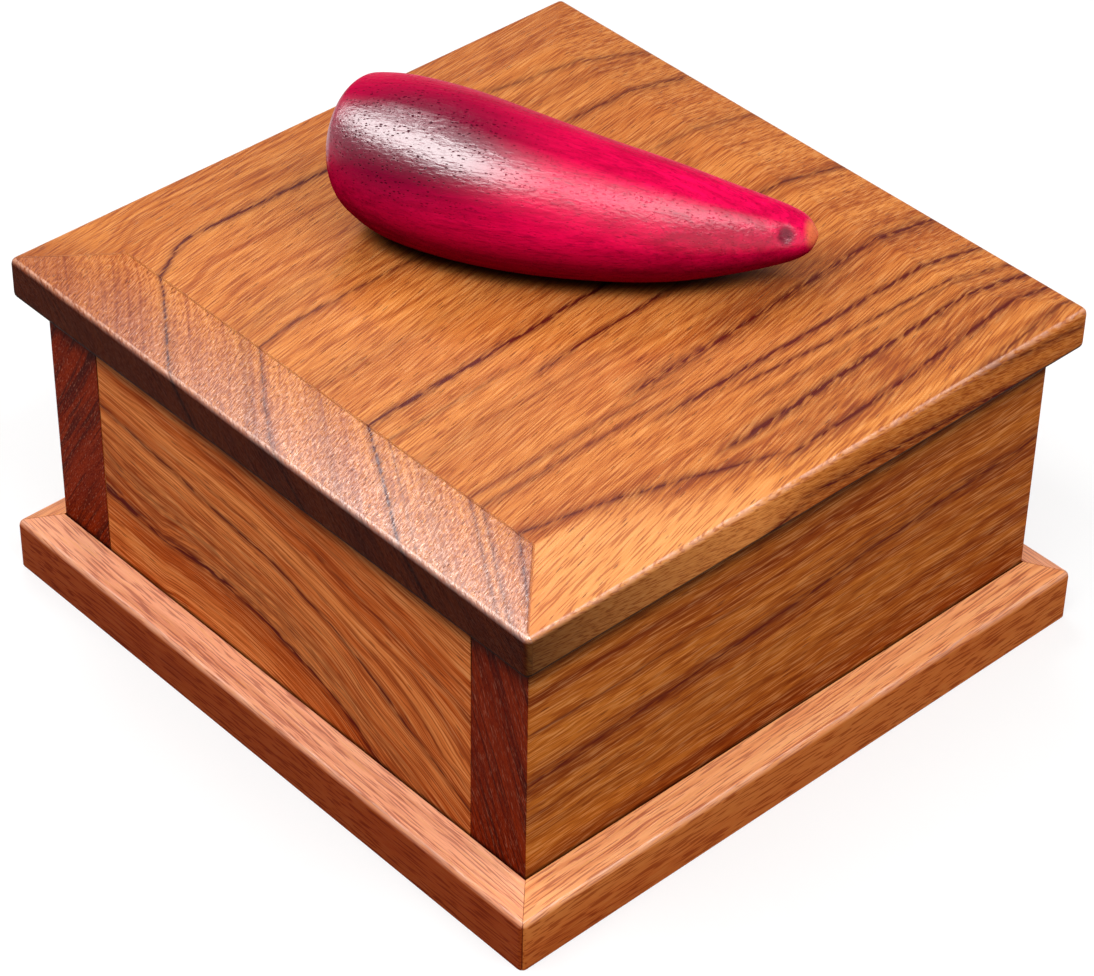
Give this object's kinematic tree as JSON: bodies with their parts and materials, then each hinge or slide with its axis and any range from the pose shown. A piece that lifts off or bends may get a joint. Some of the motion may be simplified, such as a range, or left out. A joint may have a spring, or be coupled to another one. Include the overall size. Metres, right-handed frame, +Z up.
{
  "type": "shogi piece box",
  "caption": "Square hardwood box on a mitred plinth, with a bevelled lift-off lid and a carved horn-shaped handle, for keeping shogi pieces.",
  "frame": {"origin": "middle of the base, on the surface that the box stands on", "axes": "+Z up; X along the front, with the box's right on +X; +Y from the front to the back"},
  "size_m": [0.124, 0.1274, 0.0913],
  "materials": {
    "oiled_hardwood": "oiled and rubbed, satin",
    "dowel_wood": "plain beech",
    "dyed_wood": "dyed magenta and polished",
    "screw_brass": "plain turned brass"
  },
  "bodies": {
    "box": {"front_wall": "oiled_hardwood", "back_wall": "oiled_hardwood", "left_wall": "oiled_hardwood", "right_wall": "oiled_hardwood", "corner_dowels": "dowel_wood", "bottom_board": "oiled_hardwood", "plinth_front": "oiled_hardwood", "plinth_back": "oiled_hardwood", "plinth_left": "oiled_hardwood", "plinth_right": "oiled_hardwood"},
    "lid": {"lid_board": "oiled_hardwood", "lid_strip_front": "oiled_hardwood", "lid_strip_back": "oiled_hardwood", "lid_strip_left": "oiled_hardwood", "lid_strip_right": "oiled_hardwood", "strip_pins": "screw_brass", "lid_handle": "dyed_wood", "handle_screws": "screw_brass"}
  },
  "joints": [
    {"name": "lid_lift", "type": "slide", "parent": "box", "child": "lid", "axis": [0, 0, 1], "range_m": [0, 0.1]}
  ]
}
